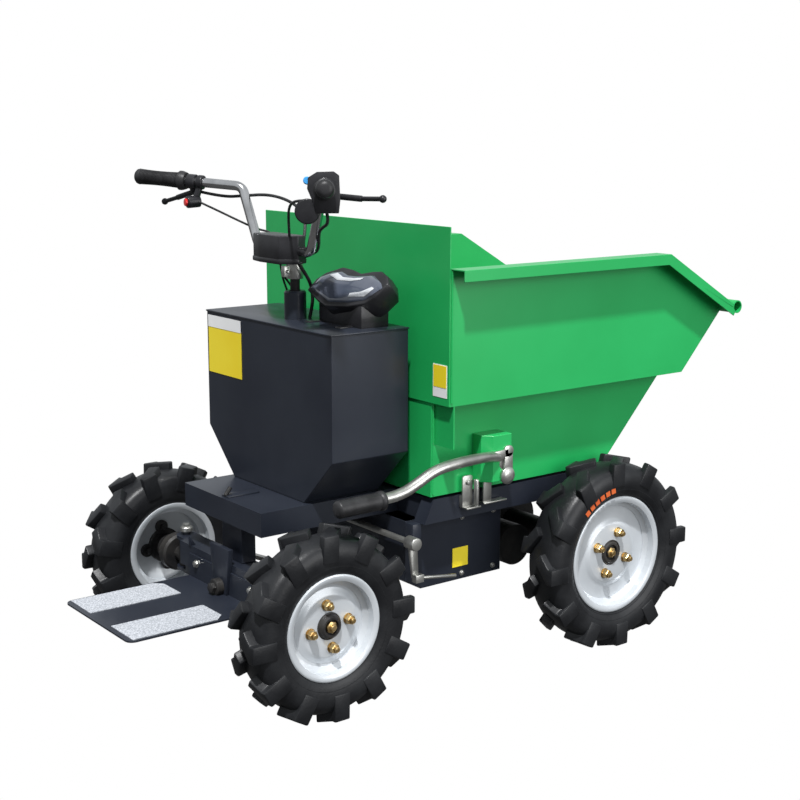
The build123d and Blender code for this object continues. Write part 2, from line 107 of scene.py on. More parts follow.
def addSky(settings):
    world = bpy.data.worlds.new("studio")
    world.use_nodes = True
    tree = world.node_tree
    tree.nodes.clear()
    path = tree.nodes.new("ShaderNodeLightPath")
    white = tree.nodes.new("ShaderNodeBackground")
    soft = tree.nodes.new("ShaderNodeBackground")
    soft.inputs["Strength"].default_value = settings["strength"]
    white.inputs["Color"].default_value = (*settings["backdrop"], 1)
    coords = tree.nodes.new("ShaderNodeTexCoord")
    parts = tree.nodes.new("ShaderNodeSeparateXYZ")
    horizon = tree.nodes.new("ShaderNodeValToRGB")
    horizon.color_ramp.elements[0].position = settings["turnFrom"]
    horizon.color_ramp.elements[0].color = (*settings["lowTone"], 1)
    horizon.color_ramp.elements[1].position = settings["turnTo"]
    horizon.color_ramp.elements[1].color = (*settings["highTone"], 1)
    height = tree.nodes.new("ShaderNodeMapRange")
    height.inputs["From Min"].default_value = -1
    tree.links.new(coords.outputs["Generated"], parts.inputs[0])
    tree.links.new(parts.outputs["Z"], height.inputs["Value"])
    tree.links.new(height.outputs["Result"], horizon.inputs["Fac"])
    tree.links.new(horizon.outputs["Color"], soft.inputs["Color"])
    mix = tree.nodes.new("ShaderNodeMixShader")
    out = tree.nodes.new("ShaderNodeOutputWorld")
    tree.links.new(path.outputs["Is Camera Ray"], mix.inputs[0])
    tree.links.new(soft.outputs[0], mix.inputs[1])
    tree.links.new(white.outputs[0], mix.inputs[2])
    tree.links.new(mix.outputs[0], out.inputs["Surface"])
    bpy.context.scene.world = world


def addFill(settings):
    lamp = bpy.data.lights.new("fill", "AREA")
    lamp.energy = settings["power"]
    lamp.size = settings["size"]
    fill = bpy.data.objects.new("fill", lamp)
    fill.location = settings["place"]
    aim = Vector(settings["place"]) - Vector(settings["aim"])
    fill.rotation_euler = aim.to_track_quat("Z", "Y").to_euler()
    bpy.context.collection.objects.link(fill)


addCamera(viewSettings)
addSun(sunSettings)
addSky(skySettings)
addFill(fillSettings)
bpy.context.scene.view_settings.view_transform = "Standard"
print("camera and lights ready")

# materials: a base tone, a second tone that drifts through it at one noise scale, and fine relief at another
materialSettings = {
    "frame_paint": {"tone": (0.014, 0.017, 0.026), "drift": (0.02, 0.024, 0.034), "rough": 0.34, "metal": 0.0,
                    "coat": 0.12, "scale": 5, "grain": 420, "relief": 0.06},
    "skip_paint": {"tone": (0.012, 0.35, 0.085), "drift": (0.016, 0.39, 0.1), "rough": 0.32, "metal": 0.0,
                   "coat": 0.15, "scale": 4, "grain": 300, "relief": 0.05},
    "rim_paint": {"tone": (0.5, 0.53, 0.56), "drift": (0.58, 0.61, 0.64), "rough": 0.32, "metal": 0.25,
                  "coat": 0.4, "scale": 9, "grain": 240, "relief": 0.05},
    "tyre_rubber": {"tone": (0.008, 0.0085, 0.01), "drift": (0.018, 0.019, 0.021), "rough": 0.4, "metal": 0.0,
                    "coat": 0.0, "scale": 14, "grain": 160, "relief": 0.25},
    "axle_casting": {"tone": (0.012, 0.012, 0.013), "drift": (0.032, 0.03, 0.028), "rough": 0.5, "metal": 0.0,
                     "coat": 0.1, "scale": 18, "grain": 200, "relief": 0.4},
    "zinc_plate": {"tone": (0.42, 0.42, 0.4), "drift": (0.6, 0.6, 0.57), "rough": 0.34, "metal": 0.9,
                   "coat": 0.0, "scale": 25, "grain": 260, "relief": 0.15},
    "bar_chrome": {"tone": (0.5, 0.5, 0.51), "drift": (0.68, 0.68, 0.69), "rough": 0.16, "metal": 1.0,
                   "coat": 0.0, "scale": 20, "grain": 200, "relief": 0.03},
    "grip_rubber": {"tone": (0.014, 0.014, 0.015), "drift": (0.03, 0.03, 0.032), "rough": 0.42, "metal": 0.0,
                    "coat": 0.0, "scale": 30, "grain": 320, "relief": 0.2},
    "black_plastic": {"tone": (0.012, 0.012, 0.014), "drift": (0.022, 0.022, 0.025), "rough": 0.34,
                      "metal": 0.0, "coat": 0.1, "scale": 20, "grain": 400, "relief": 0.15},
    "grit_pad": {"tone": (0.26, 0.275, 0.3), "drift": (0.52, 0.54, 0.58), "rough": 0.85, "metal": 0.0,
                 "coat": 0.0, "scale": 260, "grain": 420, "relief": 0.7},
    "battery_case": {"tone": (0.04, 0.04, 0.045), "drift": (0.06, 0.06, 0.065), "rough": 0.5, "metal": 0.0,
                     "coat": 0.0, "scale": 12, "grain": 200, "relief": 0.1},
    "brass_nut": {"tone": (0.45, 0.3, 0.12), "drift": (0.62, 0.46, 0.22), "rough": 0.3, "metal": 0.9,
                  "coat": 0.0, "scale": 60, "grain": 300, "relief": 0.1},
    "lens_glass": {"tone": (0.05, 0.06, 0.085), "drift": (0.09, 0.1, 0.13), "rough": 0.06, "metal": 0.0,
                   "coat": 1.0, "scale": 8, "grain": 60, "relief": 0.01},
    "grey_bezel": {"tone": (0.62, 0.64, 0.67), "drift": (0.72, 0.74, 0.77), "rough": 0.3, "metal": 0.3,
                   "coat": 0.4, "scale": 16, "grain": 200, "relief": 0.05},
    "yellow_film": {"tone": (0.86, 0.66, 0.015), "drift": (0.9, 0.72, 0.03), "rough": 0.4, "metal": 0.0,
                    "coat": 0.3, "scale": 6, "grain": 200, "relief": 0.02},
    "white_film": {"tone": (0.8, 0.8, 0.8), "drift": (0.88, 0.88, 0.88), "rough": 0.4, "metal": 0.0,
                   "coat": 0.3, "scale": 6, "grain": 200, "relief": 0.02},
    "red_button": {"tone": (0.6, 0.01, 0.01), "drift": (0.7, 0.02, 0.02), "rough": 0.3, "metal": 0.0,
                   "coat": 0.4, "scale": 30, "grain": 200, "relief": 0.02},
    "blue_button": {"tone": (0.04, 0.3, 0.7), "drift": (0.05, 0.36, 0.78), "rough": 0.3, "metal": 0.0,
                    "coat": 0.4, "scale": 30, "grain": 200, "relief": 0.02},
    "amber_rubber": {"tone": (0.5, 0.07, 0.01), "drift": (0.6, 0.12, 0.02), "rough": 0.6, "metal": 0.0,
                     "coat": 0.0, "scale": 30, "grain": 200, "relief": 0.05},
}


# what all the materials share
finishSettings = {
    "coatRough": 0.12,
    "darkBelow": 0.1,        # a tone whose brightest part is under this shines less
    "darkSpecular": 0.28,
    "lightSpecular": 0.5,
    "driftDetail": 5,
    "driftFrom": 0.38,
    "driftTo": 0.66,
    "reliefDepth": 0.0012,   # metres
}


def makeMaterial(name, settings):
    material = bpy.data.materials.new(name)
    material.use_nodes = True
    tree = material.node_tree
    bsdf = tree.nodes["Principled BSDF"]
    bsdf.inputs["Metallic"].default_value = settings["metal"]
    bsdf.inputs["Roughness"].default_value = settings["rough"]
    bsdf.inputs["Coat Weight"].default_value = settings["coat"]
    isLight = max(settings["tone"]) > finishSettings["darkBelow"]
    specular = finishSettings["lightSpecular"] if isLight else finishSettings["darkSpecular"]
    bsdf.inputs["Specular IOR Level"].default_value = specular
    bsdf.inputs["Coat Roughness"].default_value = finishSettings["coatRough"]
    coords = tree.nodes.new("ShaderNodeTexCoord")
    clouds = tree.nodes.new("ShaderNodeTexNoise")
    clouds.inputs["Scale"].default_value = settings["scale"]
    clouds.inputs["Detail"].default_value = finishSettings["driftDetail"]
    ramp = tree.nodes.new("ShaderNodeValToRGB")
    ramp.color_ramp.elements[0].position = finishSettings["driftFrom"]
    ramp.color_ramp.elements[0].color = (*settings["tone"], 1)
    ramp.color_ramp.elements[1].position = finishSettings["driftTo"]
    ramp.color_ramp.elements[1].color = (*settings["drift"], 1)
    grain = tree.nodes.new("ShaderNodeTexNoise")
    grain.inputs["Scale"].default_value = settings["grain"]
    bump = tree.nodes.new("ShaderNodeBump")
    bump.inputs["Strength"].default_value = settings["relief"]
    bump.inputs["Distance"].default_value = finishSettings["reliefDepth"]
    tree.links.new(coords.outputs["Object"], clouds.inputs["Vector"])
    tree.links.new(coords.outputs["Object"], grain.inputs["Vector"])
    tree.links.new(clouds.outputs["Fac"], ramp.inputs["Fac"])
    tree.links.new(ramp.outputs["Color"], bsdf.inputs["Base Color"])
    tree.links.new(grain.outputs["Fac"], bump.inputs["Height"])
    tree.links.new(bump.outputs["Normal"], bsdf.inputs["Normal"])
    return material


materials = {name: makeMaterial(name, settings) for name, settings in materialSettings.items()}
print("materials ready:", len(materials))

# the CAD nodes: their finishes, and a small bevel, in millimetres, on those that show sharp edges
slots = {row["node"]: row["material_slot"] for row in frame["record"]["subparts"]}
edgeBevels = {"main_frame": 2.5, "rear_post": 2, "belly_box": 2, "battery_box": 3, "rear_axle_beam": 1.5,
              "step_plate": 1, "front_axle": 2, "drive_motor": 3, "skip_tub": 1.2, "skip_headboard": 1.2,
              "skip_rim_flanges": 1.2, "skip_hinge_ears": 1, "latch_bracket": 2, "knuckle_left": 1.5,
              "knuckle_right": 1.5, "steering_shaft": 1.2, "drag_link": 1}
weldGap = 0.00002            # metres
bevelFrom = 40               # degrees between faces
for name, node in nodes.items():
    node.data.materials.clear()
    node.data.materials.append(materials[slots[name]])
    if name in edgeBevels:
        weld = node.modifiers.new("weld", "WELD")
        weld.merge_threshold = weldGap
        bevel = node.modifiers.new("bevel", "BEVEL")
        bevel.width = edgeBevels[name] * mm
        bevel.segments = 2
        bevel.limit_method = "ANGLE"
        bevel.angle_limit = math.radians(bevelFrom)
        bevel.harden_normals = True
print("CAD nodes finished")


# shape helpers: places and sizes are in millimetres, angles in degrees
helperSettings = {
    "rodEdge": 1.5,          # largest chamfer at a rod's ends
    "mergeGap": 0.002,
    "sharpFrom": 35,         # edges sharper than this get a piece's own bevel
    "curveSides": 4,         # Blender's own measures of a round bar's smoothness
    "curveSteps": 10,
}
boltShape = {                # shares of the bolt's size
    "washerRadius": 1.1,
    "washerTop": 0.18,
    "headFoot": 0.15,
    "headRadius": 0.85,
    "headShoulder": 0.75,
    "headTop": 0.82,
    "crownRadius": 0.7,
}


def joinRings(shape, rings):
    # two closed ends, and sides from each ring of corners to the next
    shape.faces.new(rings[0])
    shape.faces.new(rings[-1])
    for lower, upper in zip(rings, rings[1:]):
        for i in range(len(lower)):
            j = (i + 1) % len(lower)
            shape.faces.new((lower[i], lower[j], upper[j], upper[i]))


def prism(shape, outline, low, high, axis):
    places = {"x": lambda a, b, c: (c, a, b), "y": lambda a, b, c: (a, c, b), "z": lambda a, b, c: (a, b, c)}
    place = places[axis]
    joinRings(shape, [[shape.verts.new(Vector(place(a, b, level)) * mm) for a, b in outline]
                      for level in (low, high)])


def block(shape, low, high):
    outline = [(low[0], low[1]), (high[0], low[1]), (high[0], high[1]), (low[0], high[1])]
    prism(shape, outline, low[2], high[2], "z")


def blockAbout(shape, settings, middle):
    # a block that reaches half its width to each side of a middle in y
    (backX, frontX), (lowZ, highZ) = settings["x"], settings["z"]
    block(shape, (backX, middle - settings["half"], lowZ), (frontX, middle + settings["half"], highZ))


def turned(shape, profile, origin, direction, steps=48):
    # a profile of (along the axis, radius) spun round it
    origin = Vector(origin) * mm
    axis = Vector(direction).normalized()
    out = axis.orthogonal().normalized()
    corners = [shape.verts.new(origin + (axis * along + out * radius) * mm) for along, radius in profile]
    edges = [shape.edges.new(pair) for pair in zip(corners, corners[1:])]
    bmesh.ops.spin(shape, geom=corners + edges, cent=origin, axis=axis, angle=math.tau, steps=steps,
                   use_merge=True)


def rod(shape, start, stop, radius, steps=24):
    start, stop = Vector(start), Vector(stop)
    length = (stop - start).length
    edge = min(helperSettings["rodEdge"], radius / 4)
    turned(shape, [(0, 0), (0, radius - edge), (edge, radius), (length - edge, radius),
                   (length, radius - edge), (length, 0)], start, stop - start, steps)


def bolt(shape, place, direction, size):
    # hexagon head with a washer under it
    sizes = {name: size * share for name, share in boltShape.items()}
    turned(shape, [(0, 0), (0, sizes["washerRadius"]), (sizes["washerTop"], sizes["washerRadius"]),
                   (sizes["washerTop"], 0)], place, direction, 20)
    turned(shape, [(sizes["headFoot"], 0), (sizes["headFoot"], sizes["headRadius"]),
                   (sizes["headShoulder"], sizes["headRadius"]), (sizes["headTop"], sizes["crownRadius"]),
                   (sizes["headTop"], 0)], place, direction, 6)


def piece(shape, name, slotName, body, *replaced, crease=32, bevel=0.0):
    bmesh.ops.remove_doubles(shape, verts=shape.verts, dist=helperSettings["mergeGap"] * mm)
    bmesh.ops.recalc_face_normals(shape, faces=shape.faces)
    if bevel:
        sharpFrom = math.radians(helperSettings["sharpFrom"])
        sharp = [edge for edge in shape.edges if edge.is_manifold and edge.calc_face_angle(0) > sharpFrom]
        bmesh.ops.bevel(shape, geom=sharp, offset=bevel * mm, segments=2, profile=0.5, affect="EDGES",
                        material=-1, clamp_overlap=True)
    mesh = bpy.data.meshes.new(name)
    shape.to_mesh(mesh)
    shape.free()
    mesh.shade_smooth()
    mesh.set_sharp_from_angle(angle=math.radians(crease))
    obj = bpy.data.objects.new(name, mesh)
    bpy.context.collection.objects.link(obj)
    return dress(obj, slotName, body, *replaced)


def blockPiece(name, corners, slotName, body, bevel=0.0):
    shape = bmesh.new()
    block(shape, *corners)
    return piece(shape, name, slotName, body, bevel=bevel)


def dress(obj, slotName, body, *replaced):
    obj.data.materials.append(materials[slotName])
    if replaced:
        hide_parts(*replaced)
    if body:
        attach(obj, body)
    return obj


def tube(name, points, radius, slotName, body, *replaced):
    # a round bar or cable along a smooth curve that its points pull
    curve = bpy.data.curves.new(name, "CURVE")
    curve.dimensions = "3D"
    curve.bevel_depth = radius * mm
    curve.bevel_resolution = helperSettings["curveSides"]
    curve.resolution_u = helperSettings["curveSteps"]
    curve.use_fill_caps = True
    spline = curve.splines.new("NURBS")
    spline.points.add(len(points) - 1)
    for knot, point in zip(spline.points, points):
        knot.co = (*(Vector(point) * mm), 1)
    spline.order_u = 3
    spline.use_endpoint_u = True
    obj = bpy.data.objects.new(name, curve)
    bpy.context.collection.objects.link(obj)
    return dress(obj, slotName, body, *replaced)


# wheels, in millimetres
wheelSettings = {
    "rear": {"x": -431, "y": 345, "z": 208, "halfWidth": 50, "seat": 101.5, "flange": 115.5, "boltCircle": 48,
             "capOut": 27, "capRadius": 25, "nutTurn": 8},
    "front": {"x": 353, "y": 386, "z": 230, "halfWidth": 54, "seat": 127, "flange": 141, "boltCircle": 51,
              "capOut": 19, "capRadius": 27, "nutTurn": -23},
    "nuts": 4,
    "steps": 96,             # flats round a tyre or a rim
}
tyreSettings = {
    # share of the tyre's half width, and rise above the rim's seat
    "wall": [(0.86, 27), (0.94, 46), (0.93, 61), (0.84, 76), (0.64, 84.5), (0.3, 89), (0, 90)],
    # the same two measures for the fine rings moulded on each side wall
    "rings": [(0.77, 20), (0.885, 33)],
    "ringSink": 3,
    "ringFoot": 2,
    "ringCrest": 1.2,
}
lugSettings = {
    "perSide": 12,
    "drop": 5,               # fall of a lug's top from the tyre's middle to its shoulder
    "noseOut": 8,            # from the tyre's middle to the middle of a lug's nose
    "width": 27,
    "endLength": 38,         # along the tread, at the shoulder
    "endBack": 14,           # half the tyre's width less this is how far along the tread the end lies
    "endInset": 0.5,
    "bendInsets": (13, 17),  # where the long sides bend, in from the shoulder
    "rootRise": 42,          # above the rim's seat, buried in the tyre
    "rootSpread": 1.06,
    "rootDraw": 0.985,
    "bevel": 3.4,
}


def wheelCentre(axle, side):
    size = wheelSettings[axle]
    return Vector((size["x"], side * size["y"], size["z"]))


def nutSpots(axle, side):
    size = wheelSettings[axle]
    angles = [math.radians(size["nutTurn"] + 360 / wheelSettings["nuts"] * step)
              for step in range(wheelSettings["nuts"])]
    return [wheelCentre(axle, side) + Vector((math.cos(angle), 0, math.sin(angle))) * size["boltCircle"]
            for angle in angles]


def lugPlan(halfWidth):
    # a lug's corners as (out from the tyre's middle, along the tread)
    noseHalf = lugSettings["width"] / 2 * math.sqrt(0.5)
    nose, endHalf = lugSettings["noseOut"], lugSettings["endLength"] / 2
    reach, endAt = halfWidth - lugSettings["endInset"], halfWidth - lugSettings["endBack"]
    lowInset, highInset = lugSettings["bendInsets"]
    return [(nose - noseHalf, noseHalf), (nose + noseHalf, -noseHalf),
            (halfWidth - lowInset, endAt - endHalf), (reach, endAt - endHalf),
            (reach, endAt + endHalf), (halfWidth - highInset, endAt + endHalf)]


def makeLug(axle, side, hand, angle, top):
    # a buried root and a top that falls towards the shoulder, bevelled all round
    size = wheelSettings[axle]
    half = size["halfWidth"]
    middle = (half - lugSettings["endBack"]) * 2 / 3
    tilt = lugSettings["drop"] / half
    out = Vector((math.cos(angle), 0, math.sin(angle)))
    along = Vector((-math.sin(angle), 0, math.cos(angle)))
    lug = bmesh.new()
    rings = []
    for isTop in (False, True):
        spread = 1.0 if isTop else lugSettings["rootSpread"]
        draw = 1.0 if isTop else lugSettings["rootDraw"]
        ring = []
        for u, v in lugPlan(half):
            height = top - u * tilt if isTop else size["seat"] + lugSettings["rootRise"]
            place = wheelCentre(axle, side) + out * height + along * (v - middle) * spread
            place += Vector((0, side * hand * u * draw, 0))
            ring.append(lug.verts.new(place * mm))
        rings.append(ring)
    joinRings(lug, rings)
    bmesh.ops.recalc_face_normals(lug, faces=lug.faces)
    bmesh.ops.bevel(lug, geom=list(lug.edges), offset=lugSettings["bevel"] * mm, segments=2, profile=0.5,
                    affect="EDGES", material=-1, clamp_overlap=True)
    mesh = bpy.data.meshes.new("lug")
    lug.to_mesh(mesh)
    lug.free()
    return mesh


def lugTop(size, lowAngles):
    # the radius that brings the lowest lugs' corners down to the ground
    middle = (size["halfWidth"] - lugSettings["endBack"]) * 2 / 3
    tilt = lugSettings["drop"] / size["halfWidth"]
    return min((size["z"] + (v - middle) * math.cos(angle)) / -math.sin(angle) + u * tilt
               for angle in lowAngles for u, v in lugPlan(size["halfWidth"]))


def makeTyre(axle, side, name):
    size = wheelSettings[axle]
    seat, flange, half = size["seat"], size["flange"], size["halfWidth"]
    centre = wheelCentre(axle, side)
    shape = bmesh.new()
    # the bead between the rim's flanges, then the side wall up to the crown
    wall = [(36.5, seat + 1), (36.8, flange), (39.5, flange + 3)]
    wall += [(half * share, seat + rise) for share, rise in tyreSettings["wall"]]
    section = wall + [(-across, radius) for across, radius in reversed(wall[:-1])]
    steps = wheelSettings["steps"]
    turned(shape, section + [section[0]], centre, (0, 1, 0), steps)
    footHalf, crestHalf = tyreSettings["ringFoot"], tyreSettings["ringCrest"]
    for face in (-1, 1):
        for share, rise in tyreSettings["rings"]:
            radius = seat + rise
            crest = face * (half * share)
            foot = face * (half * share - tyreSettings["ringSink"])
            turned(shape, [(foot, radius - footHalf), (crest, radius - crestHalf),
                           (crest, radius + crestHalf), (foot, radius + footHalf),
                           (foot, radius - footHalf)], centre, (0, 1, 0), steps)
    bottom = -math.pi / 2
    halfPitch = math.pi / lugSettings["perSide"]
    top = lugTop(size, [bottom + step * halfPitch for step in (-2, -1, 0, 1, 2)])
    for hand in (1, -1):
        for step in range(lugSettings["perSide"]):
            mesh = makeLug(axle, side, hand, bottom + (2 * step + (hand < 0)) * halfPitch, top)
            shape.from_mesh(mesh)
            bpy.data.meshes.remove(mesh)
    piece(shape, "tread_" + name, "tyre_rubber", "wheel_" + name, "tyre_" + name, crease=40)


rimSettings = {"wellDepth": 10.5, "landOut": 20, "bore": 30}


def makeRim(axle, side, name):
    size = wheelSettings[axle]
    seat, flange = size["seat"], size["flange"]
    centre = wheelCentre(axle, side)
    outward = (0, side, 0)
    steps = wheelSettings["steps"]
    well = seat - rimSettings["wellDepth"]
    land = size["boltCircle"] + rimSettings["landOut"]
    bore = rimSettings["bore"]
    shape = bmesh.new()
    # rolled edge, seat, drop centre and the inner face of each
    turned(shape, [(-40, flange - 1), (-38.5, flange), (-37, flange), (-37, seat), (-20, seat), (-13, well),
                   (13, well), (20, seat), (37, seat), (37, flange), (38.5, flange), (40, flange - 1.5),
                   (40.5, flange - 4), (39.5, seat + 4), (37.5, seat - 1), (22, seat - 3),
                   (14.5, well - 3), (-14.5, well - 3), (-22, seat - 3), (-37.5, seat - 1),
                   (-39.5, seat + 4), (-40.5, flange - 4), (-40, flange - 1)], centre, outward, steps)
    # the dish, from the well in to the bore and back
    turned(shape, [(13, well - 2), (12.5, well - 9), (13, land + 14), (15, land + 7), (18.5, land + 1),
                   (19, land - 4), (19, bore), (15, bore), (15, land - 6), (9, land + 8), (8.5, well - 2),
                   (13, well - 2)], centre, outward, steps)
    piece(shape, "dished_rim_" + name, "rim_paint", "wheel_" + name, "rim_" + name, crease=38)


hubSettings = {
    "bore": 12.6,            # radii
    "barrel": 27,
    "fin": 31,
    "face": 42,
    "lobe": 16,
    "washer": 12,
    "nut": 10.5,
    "stud": 6,
    "spindleNut": 13,
    "spindle": 7,
}


def makeHub(axle, side, name):
    size = wheelSettings[axle]
    centre = wheelCentre(axle, side)
    outward = Vector((0, side, 0))
    cap, capOut = size["capRadius"], size["capOut"]
    bore, barrel, fin, face = [hubSettings[part] for part in ("bore", "barrel", "fin", "face")]
    shape = bmesh.new()
    # finned barrel, face and cap
    turned(shape, [(-38, bore), (-38, 24), (-36, barrel), (-30, barrel), (-29, fin), (-25, fin),
                   (-24, barrel), (-18, barrel), (-17, fin), (-13, fin), (-12, barrel), (4, barrel),
                   (4, face - 2), (6, face), (14.5, face), (14.5, cap + 4), (19, cap + 4), (20, cap + 2),
                   (capOut, cap),
                   (capOut + 3, cap - 4), (capOut + 3, cap - 8), (capOut - 4, cap - 10), (capOut - 4, 0),
                   (capOut - 12, 0), (capOut - 12, bore), (-38, bore)], centre, outward, 48)
    for spot in nutSpots(axle, side):
        rod(shape, spot + outward * 5, spot + outward * 14.6, hubSettings["lobe"])
        rod(shape, spot - outward * 3, spot + outward * 6, 7.5, 6)
    piece(shape, "ribbed_hub_" + name, "axle_casting", "wheel_" + name, "hub_" + name)
    washer, nut = hubSettings["washer"], hubSettings["nut"]
    nuts = bmesh.new()
    for spot in nutSpots(axle, side):
        turned(nuts, [(18.5, 0), (18.5, washer), (20.5, washer), (20.5, 0)], spot, outward, 24)
        turned(nuts, [(20, 0), (20, nut), (33, nut), (35, nut - 1.5), (35, 0)], spot, outward, 6)
        rod(nuts, spot + outward * 34, spot + outward * 42, hubSettings["stud"], 16)
    piece(nuts, "wheel_nuts_" + name, "brass_nut", "wheel_" + name)
    endNut = hubSettings["spindleNut"]
    spindle = bmesh.new()
    turned(spindle, [(capOut - 6, 0), (capOut - 6, endNut), (capOut + 3, endNut), (capOut + 4, endNut - 2),
                     (capOut + 4, 0)], centre, outward, 6)
    rod(spindle, centre + outward * (capOut + 2), centre + outward * (capOut + 11),
        hubSettings["spindle"], 20)
    piece(spindle, "spindle_nut_" + name, "brass_nut", "wheel_" + name)


sides = ((1, "left"), (-1, "right"))
for axle in ("rear", "front"):
    for side, hand in sides:
        makeTyre(axle, side, axle + "_" + hand)
        makeRim(axle, side, axle + "_" + hand)
        makeHub(axle, side, axle + "_" + hand)

# coloured marks moulded on the front tyres, on the wall that faces out; angles are in degrees
flashSettings = {"marks": 6, "from": 98, "pitch": 6.4, "length": 4.6, "radius": 164, "halfHeight": 6,
                 "root": 45, "reach": 50.4}
front = wheelSettings["front"]
for side, hand in sides:
    flash = bmesh.new()
    low = flashSettings["radius"] - flashSettings["halfHeight"]
    high = flashSettings["radius"] + flashSettings["halfHeight"]
    for step in range(flashSettings["marks"]):
        first = math.radians(flashSettings["from"] + step * flashSettings["pitch"])
        last = first + math.radians(flashSettings["length"])
        corners = [(front["x"] + r * math.cos(a), front["z"] + r * math.sin(a))
                   for a, r in ((first, low), (last, low), (last, high), (first, high))]
        prism(flash, corners, side * (front["y"] + flashSettings["root"]),
              side * (front["y"] + flashSettings["reach"]), "y")
    piece(flash, "tyre_flash_front_" + hand, "amber_rubber", "wheel_front_" + hand)
print("wheels ready")

# bolts, brackets and the rear axle's pivot
rearAxle = (-431, 0, 208)
frameSettings = {
    "stepBolts": [(-452, 120, 190), (-452, -120, 190), (-452, 0, 190)],
    "rearBolts": [(-471.5, -120, 226), (-471.5, 120, 226)],
    "kingpinOut": 240,
    "kingpinTop": 281,
    "kingpinCap": (11, 15),  # height and radius
    "bellyBolts": [(-120, 330), (-120, 240), (20, 340), (115, 340), (20, 205), (115, 205)],   # x and z
    "bellyHalf": 250,
    "boltSizes": {"step": 8, "rear": 9, "kingpin": 11, "belly": 6, "pivot": 15},
    "tab": ((-462, -16, 410), (-380, 14, 415)),
    "gusset": [(-471, 285), (-455, 262), (-471, 262)],       # x and z
    "gussetFaces": (150, 158),
    "shaftBracket": {"out": 269, "half": 15, "x": (-150, -126), "z": (300, 357)},
    "pivotPlate": [(-43, 300), (-26, 190), (-12, 176), (12, 176), (26, 190), (43, 300)],      # y and z
    "pivotPlateFaces": (-480, -468),
    "pivot": (-478, 0, 206),
    "pivotCap": (18, 20),    # length and radius
    "pivotBoltBack": 16,
    "pin": ((-462, -2, 414), (-448, -2, 432)),
    "pinRadius": 5,
}
boltSizes = frameSettings["boltSizes"]
frameBolts = bmesh.new()
for place in frameSettings["stepBolts"]:
    bolt(frameBolts, place, (0, 0, 1), boltSizes["step"])
for place in frameSettings["rearBolts"]:
    bolt(frameBolts, place, (-1, 0, 0), boltSizes["rear"])
capHeight, capRadius = frameSettings["kingpinCap"]
for side in (-1, 1):
    kingpin = Vector((rearAxle[0], side * frameSettings["kingpinOut"], frameSettings["kingpinTop"]))
    rod(frameBolts, kingpin - Vector((0, 0, capHeight)), kingpin, capRadius)
    bolt(frameBolts, kingpin - Vector((0, 0, 1)), (0, 0, 1), boltSizes["kingpin"])
for x, z in frameSettings["bellyBolts"]:
    bolt(frameBolts, (x, -frameSettings["bellyHalf"], z), (0, -1, 0), boltSizes["belly"])
    bolt(frameBolts, (x, frameSettings["bellyHalf"], z), (0, 1, 0), boltSizes["belly"])
piece(frameBolts, "frame_bolts", "zinc_plate", "root")

shaftBracket = frameSettings["shaftBracket"]
innerFace, outerFace = frameSettings["gussetFaces"]
brackets = bmesh.new()
block(brackets, *frameSettings["tab"])
for side in (-1, 1):
    prism(brackets, frameSettings["gusset"], side * innerFace, side * outerFace, "y")
    blockAbout(brackets, shaftBracket, side * shaftBracket["out"])
prism(brackets, frameSettings["pivotPlate"], *frameSettings["pivotPlateFaces"], "x")
piece(brackets, "frame_brackets", "frame_paint", "root", bevel=1.5)

pivot = Vector(frameSettings["pivot"])
capLength, capRadius = frameSettings["pivotCap"]
pivotShape = bmesh.new()
rod(pivotShape, pivot - Vector((capLength, 0, 0)), pivot, capRadius)
bolt(pivotShape, pivot - Vector((frameSettings["pivotBoltBack"], 0, 0)), (-1, 0, 0), boltSizes["pivot"])
rod(pivotShape, *frameSettings["pin"], frameSettings["pinRadius"])
piece(pivotShape, "pivot_bolt", "axle_casting", "root")

# (out along the axle, radius)
collarProfile = [(272, 13), (272, 40), (277, 45), (298, 45), (300, 42), (300, 13), (272, 13)]
for side, hand in sides:
    collar = bmesh.new()
    turned(collar, collarProfile, rearAxle, (0, side, 0), 48)
    piece(collar, "knuckle_collar_" + hand, "axle_casting", "steer_" + hand)
print("frame details ready")

# the battery box's lid, the blank plates, the steering column and its clamp; each box is two corners
boxSettings = {
    "noticePlate": ((-350.2, 104, 650), (-348.8, 252, 786)),
    "lid": ((-351, -262, 793), (-144, 262, 797)),
    "noticeBand": ((-350.8, 104, 758), (-349, 252, 786)),
    "bellyPlate": ((-8, -251.2, 222), (38, -250, 268)),
    "clampEar": ((-300, -7, 893), (-282, 7, 918)),
}
columnSettings = {"x": -268, "foot": 320, "length": 541, "outer": 25, "inner": 13.2, "clampFoot": 888,
                  "clampLength": 36, "clampOuter": 19, "clampInner": 11,
                  "clampBolt": ((-293, -14, 905), (-293, 14, 905)), "clampBoltRadius": 4}
blockPiece("notice_plate_blank", boxSettings["noticePlate"], "yellow_film", "root")
blockPiece("box_lid", boxSettings["lid"], "frame_paint", "root", bevel=1.4)
blockPiece("notice_band_blank", boxSettings["noticeBand"], "white_film", "root")


def collaredTube(shape, foot, length, outer, inner, chamfer, steps):
    # an upright tube on the steering column's line, chamfered round its top
    turned(shape, [(0, inner), (0, outer), (length - chamfer[0], outer), (length, outer - chamfer[1]),
                   (length, inner), (0, inner)], (columnSettings["x"], 0, foot), (0, 0, 1), steps)


